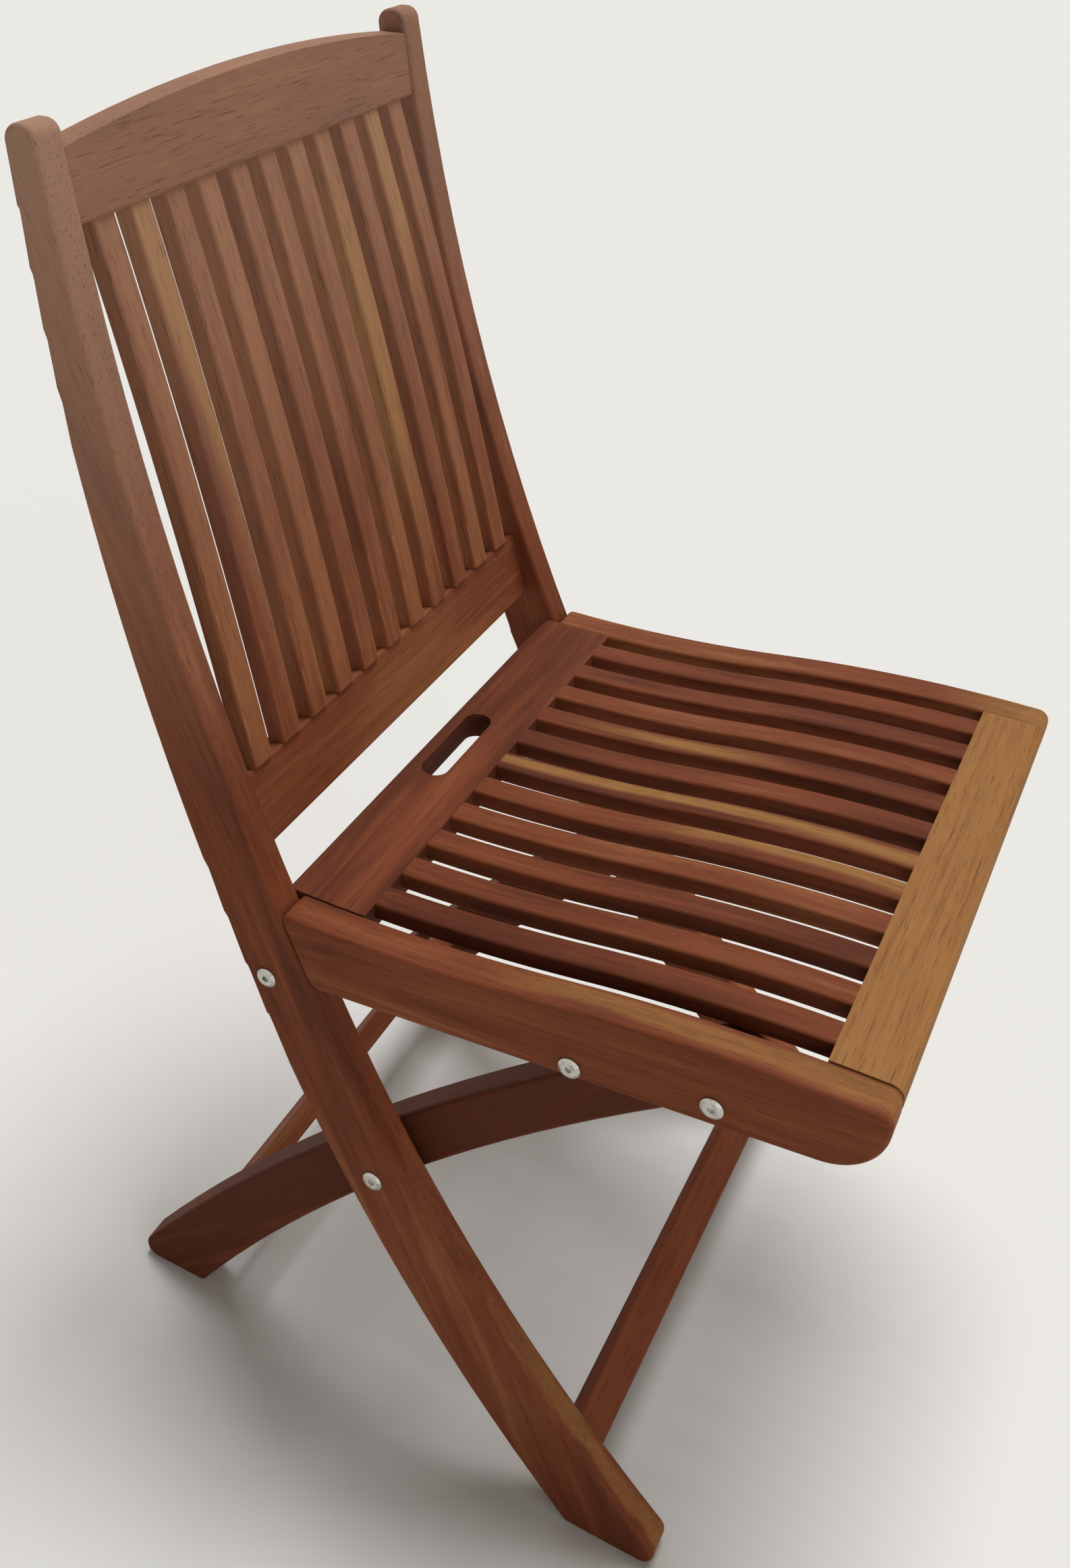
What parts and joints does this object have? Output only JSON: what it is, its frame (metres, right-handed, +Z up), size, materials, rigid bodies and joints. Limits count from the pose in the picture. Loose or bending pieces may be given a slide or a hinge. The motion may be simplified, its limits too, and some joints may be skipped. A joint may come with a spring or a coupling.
{
  "type": "folding side chair",
  "caption": "Folding slatted side chair with bowed crossing legs, an arched crest rail, a curved seat with a hand-hold slot and a four-bar fold.",
  "frame": {"origin": "on the floor, under the middle of the chair's outer box", "axes": "+Z up, -Y the way the chair faces, +X to a sitter's left"},
  "size_m": [0.4548, 0.5571, 0.902],
  "materials": {
    "frame_wood": "oiled red-brown hardwood",
    "slat_wood": "oiled hardwood, mixed tones",
    "pale_wood": "oiled golden sapwood",
    "steel": "bright zinc-plated steel"
  },
  "bodies": {
    "back_frame": {"left_stile": "frame_wood", "right_stile": "frame_wood", "crest_rail": "frame_wood", "lower_back_rail": "frame_wood", "front_stretcher": "frame_wood", "back_slat_01": "slat_wood", "back_slat_02": "slat_wood", "back_slat_03": "slat_wood", "back_slat_04": "slat_wood", "back_slat_05": "slat_wood", "back_slat_06": "slat_wood", "back_slat_07": "slat_wood", "back_slat_08": "slat_wood", "back_slat_09": "slat_wood", "back_slat_10": "slat_wood", "back_slat_11": "slat_wood", "back_pivot_bolts": "steel", "back_pivot_nuts": "steel", "back_pivot_spacers": "steel"},
    "rear_leg_frame": {"rear_leg_left": "frame_wood", "rear_leg_right": "frame_wood", "rear_stretcher": "frame_wood"},
    "seat": {"seat_rail_left": "frame_wood", "seat_rail_right": "frame_wood", "seat_rear_rail": "frame_wood", "seat_front_rail": "pale_wood", "seat_slat_01": "slat_wood", "seat_slat_02": "slat_wood", "seat_slat_03": "slat_wood", "seat_slat_04": "slat_wood", "seat_slat_05": "slat_wood", "seat_slat_06": "slat_wood", "seat_slat_07": "slat_wood", "seat_slat_08": "slat_wood", "seat_slat_09": "slat_wood", "seat_slat_10": "slat_wood", "seat_slat_11": "slat_wood", "seat_pivot_bolts": "steel", "seat_pivot_nuts": "steel", "seat_pivot_spacers": "steel", "link_front_bolts": "steel"},
    "links": {"link_left": "steel", "link_right": "steel", "link_rear_bolts": "steel"}
  },
  "joints": [
    {"name": "leg_fold", "type": "hinge", "parent": "back_frame", "child": "rear_leg_frame", "pos_m": [0, 0.0305, 0.231], "axis": [-1, 0, 0], "range_deg": [0, 67.5]},
    {"name": "seat_turn", "type": "hinge", "parent": "rear_leg_frame", "child": "seat", "pos_m": [0, -0.1838, 0.4087], "axis": [1, 0, 0], "range_deg": [0, 141.98]},
    {"name": "link_turn", "type": "hinge", "parent": "back_frame", "child": "links", "pos_m": [0, 0.1112, 0.3664], "axis": [-1, 0, 0], "range_deg": [0, 92.24]}
  ],
  "couplings": [
    {"joint": "seat_turn", "follows": "leg_fold", "ratio": 2.1034},
    {"joint": "link_turn", "follows": "leg_fold", "ratio": 1.3665}
  ]
}
